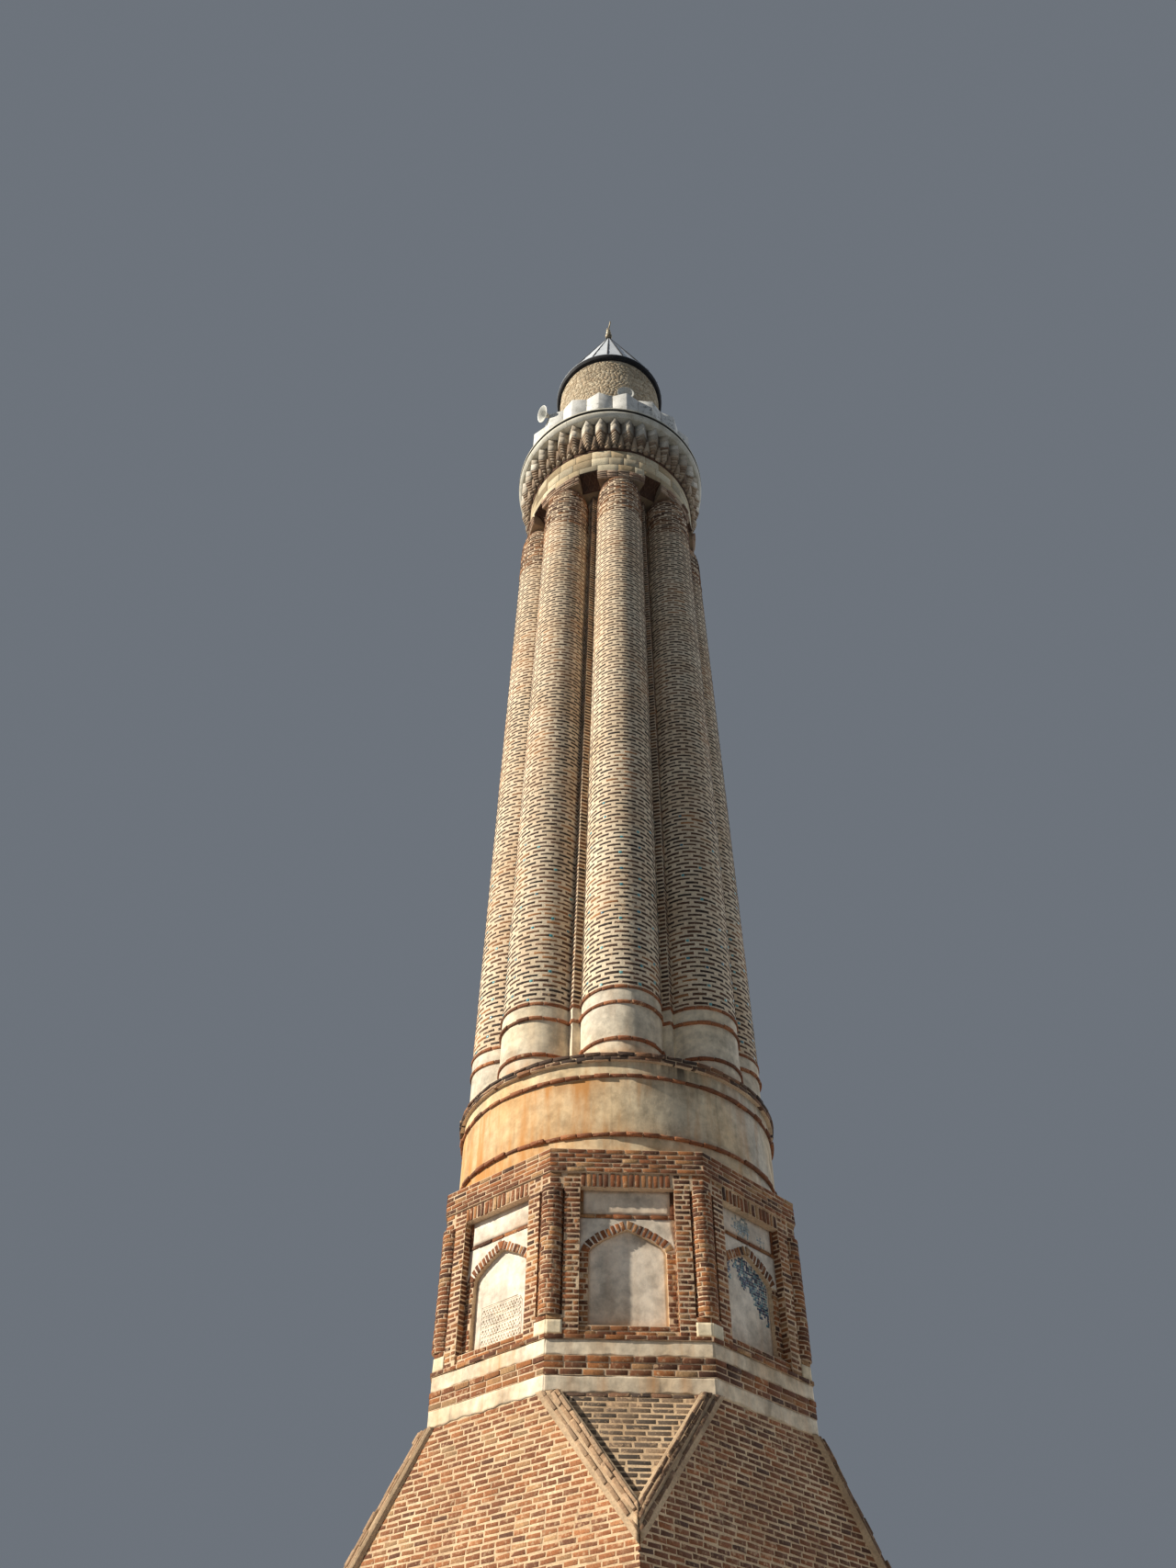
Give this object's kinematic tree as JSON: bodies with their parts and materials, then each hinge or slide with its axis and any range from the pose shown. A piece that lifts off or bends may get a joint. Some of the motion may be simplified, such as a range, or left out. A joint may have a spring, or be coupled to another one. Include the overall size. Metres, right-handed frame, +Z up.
{
  "type": "minaret",
  "caption": "Brick minaret: square base, niched octagonal stage, fluted shaft, corbelled balcony with folded parapet, upper shaft and lead cone roof.",
  "frame": {"origin": "middle of the base's underside, at ground level", "axes": "+Z up along the tower's axis; the square base's faces look along X and Y, its doorway faces +Y"},
  "size_m": [4.624, 4.7294, 37.935],
  "materials": {
    "brick": "matte fired brick with pale lime mortar",
    "plaster": "matte lime plaster, stained ochre",
    "ashlar": "matte cut limestone",
    "marble": "weathered white marble",
    "lead": "dull grey lead sheet",
    "gilt": "weathered gilt brass",
    "enamel": "weathered grey-white paint"
  },
  "bodies": {
    "root": {"ground_floor": "ashlar", "base_wall_south": "brick", "base_wall_east": "brick", "base_wall_west": "brick", "base_wall_north_east": "brick", "base_wall_north_west": "brick", "base_wall_over_doorway": "brick", "corner_moulding_north_east": "brick", "corner_moulding_north_west": "brick", "corner_moulding_south_west": "brick", "corner_moulding_south_east": "brick", "lower_plaster_band": "plaster", "brick_band": "brick", "upper_plaster_band": "plaster", "sill_course": "brick", "stage_wall_1": "brick", "stage_wall_2": "brick", "stage_wall_3": "brick", "stage_wall_4": "brick", "stage_wall_5": "brick", "stage_wall_6": "brick", "stage_wall_7": "brick", "stage_wall_8": "brick", "octagon_cornice": "brick", "drum": "plaster", "drum_coping": "brick", "flute_feet": "plaster", "fluted_shaft": "brick", "neck_ring": "ashlar", "corbel_ring": "ashlar", "balcony_floor": "marble", "parapet": "marble", "upper_shaft": "ashlar", "eave_ring": "lead", "cone_roof": "lead", "finial": "gilt", "loudspeaker_south": "enamel", "loudspeaker_east": "enamel"}
  },
  "joints": []
}
